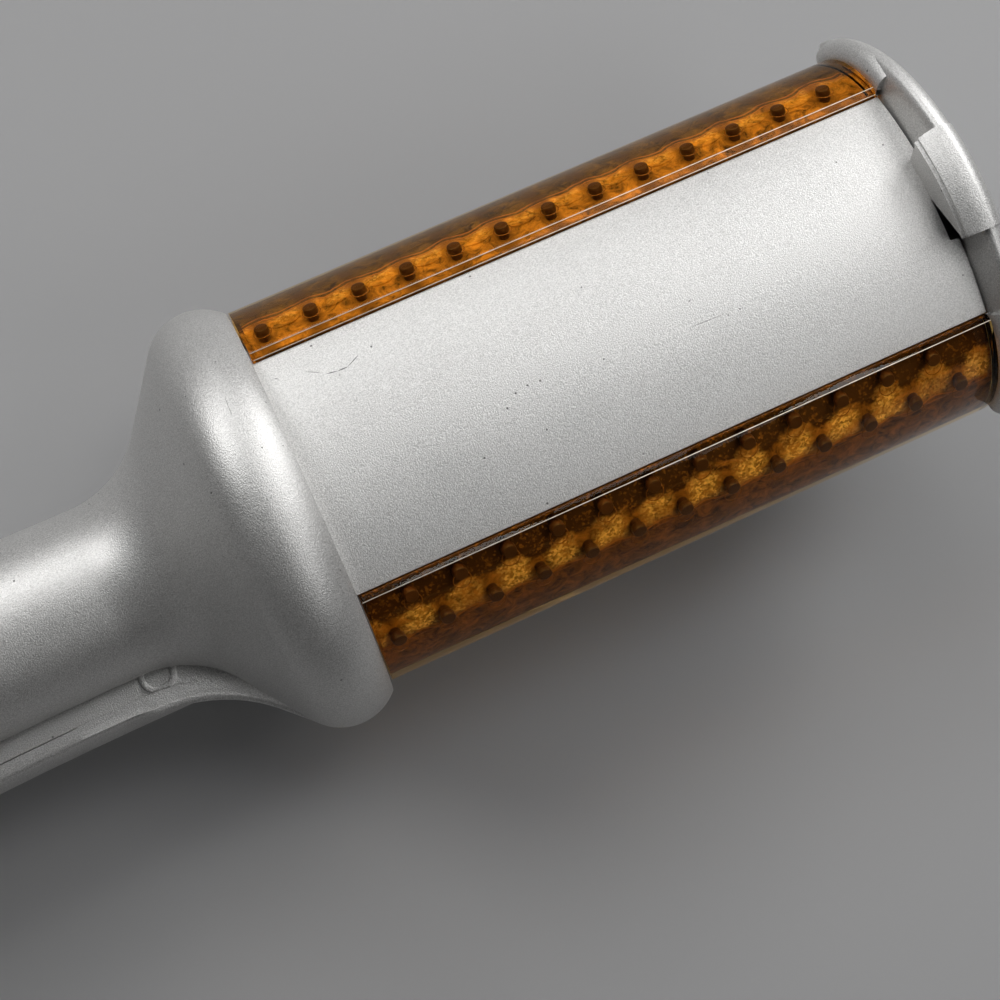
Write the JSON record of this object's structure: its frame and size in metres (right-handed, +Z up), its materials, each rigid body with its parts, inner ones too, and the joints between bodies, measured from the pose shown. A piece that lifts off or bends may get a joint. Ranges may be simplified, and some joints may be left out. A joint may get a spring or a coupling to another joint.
{
  "type": "rotating curling brush",
  "caption": "Rotating curling brush: turning heated barrel on a lower arm, hinged upper arm with a silver cover and two amber bristle strips",
  "frame": {"origin": "bottom centre of the part's bounding box, on the table under the handle's middle", "axes": "+X along the barrel towards the tip, +Z up out of the table, +Y to the left when looking towards the tip"},
  "size_m": [0.3146, 0.0676, 0.0656],
  "materials": {
    "silver_shell": "satin silver paint with fine flake",
    "amber_strip": "clear amber, polished",
    "bristle": "black nylon",
    "tuft_root": "dark bonded roots",
    "dark_plastic": "fine moulded texture",
    "barrel_coat": "dark smooth coating",
    "turned_metal": "turned",
    "steel": "plain",
    "bronze": "machined",
    "copper_wire": "wound wire",
    "ceramic": "unglazed",
    "white_plastic": "moulded",
    "board": "lacquered board",
    "light_pipe": "clear tinted",
    "key_metal": "satin silver",
    "wire_skin": "smooth",
    "soft_rubber": "matt"
  },
  "bodies": {
    "lower_arm": {"lower_casing": "silver_shell", "handle_deck": "silver_shell", "tail_cap": "silver_shell", "bearing_bracket": "dark_plastic", "rear_bush": "bronze", "motor_plate": "dark_plastic", "gear_motor": "steel", "motor_cradle": "dark_plastic", "spindle": "steel", "heater_core": "ceramic", "heater_winding": "copper_wire", "thermostat": "steel", "front_bush": "bronze", "tip_cap": "dark_plastic", "tip_screw": "steel", "circuit_board": "board", "board_parts": "dark_plastic", "switch_board": "board", "heat_switch": "dark_plastic", "power_switch": "dark_plastic", "button_spring": "steel", "control_plate": "dark_plastic", "light_pipes": "light_pipe", "close_switch": "dark_plastic", "hinge_pin": "steel", "opening_spring": "steel", "wiring": "wire_skin", "deck_screws": "steel"},
    "barrel": {"barrel_tube": "barrel_coat", "barrel_hub": "turned_metal", "barrel_front": "turned_metal", "drum_gear": "white_plastic"},
    "pinion": {"drive_pinion": "bronze", "motor_shaft": "steel"},
    "brush_arm": {"upper_casing": "silver_shell", "upper_liner": "dark_plastic", "liner_screws": "steel", "hinge_bracket": "steel", "brush_frame": "dark_plastic", "frame_screws": "steel", "brush_cover": "silver_shell", "cover_screws": "steel", "brush_end_cap": "silver_shell", "holder_left": "amber_strip", "holder_right": "amber_strip", "tuft_roots_left": "tuft_root", "tuft_roots_right": "tuft_root", "bristles_left": "bristle", "bristles_right": "bristle"},
    "heat_slide": {"heat_slider": "key_metal"},
    "power_key": {"power_button": "key_metal"},
    "lock_slide": {"lock_slider": "dark_plastic"},
    "close_plunger": {"switch_plunger": "white_plastic"},
    "swivel": {"cord_swivel": "soft_rubber"}
  },
  "joints": [
    {"name": "arm_hinge", "type": "hinge", "parent": "lower_arm", "child": "brush_arm", "pos_m": [-0.12325, 0, 0.0286], "axis": [0, -1, 0], "range_deg": [0, 24], "deforming": ["opening_spring"]},
    {"name": "barrel_spin", "type": "hinge", "parent": "lower_arm", "child": "barrel", "pos_m": [0.04875, 0, 0.0316], "axis": [1, 0, 0], "continuous": true},
    {"name": "pinion_spin", "type": "hinge", "parent": "lower_arm", "child": "pinion", "pos_m": [0.03375, 0, 0.0156], "axis": [1, 0, 0], "continuous": true},
    {"name": "plunger_slide", "type": "slide", "parent": "lower_arm", "child": "close_plunger", "axis": [0, 0, 1], "range_m": [0, 0.00125]},
    {"name": "heat_slide_x", "type": "slide", "parent": "lower_arm", "child": "heat_slide", "axis": [1, 0, 0], "range_m": [0, 0.008]},
    {"name": "power_press", "type": "slide", "parent": "lower_arm", "child": "power_key", "axis": [0, 1, 0], "range_m": [0, 0.0008], "stiffness_N_per_m": 800, "springref_m": -0.0005, "deforming": ["button_spring"]},
    {"name": "lock_slide_x", "type": "slide", "parent": "lower_arm", "child": "lock_slide", "axis": [1, 0, 0], "range_m": [0, 0.004]},
    {"name": "swivel_turn", "type": "hinge", "parent": "lower_arm", "child": "swivel", "pos_m": [-0.15025, 0, 0.0216], "axis": [1, 0, 0], "continuous": true}
  ],
  "couplings": [
    {"joint": "pinion_spin", "follows": "barrel_spin", "ratio": -2.3333},
    {"joint": "plunger_slide", "follows": "arm_hinge", "m_per_rad": 0.0028648}
  ]
}
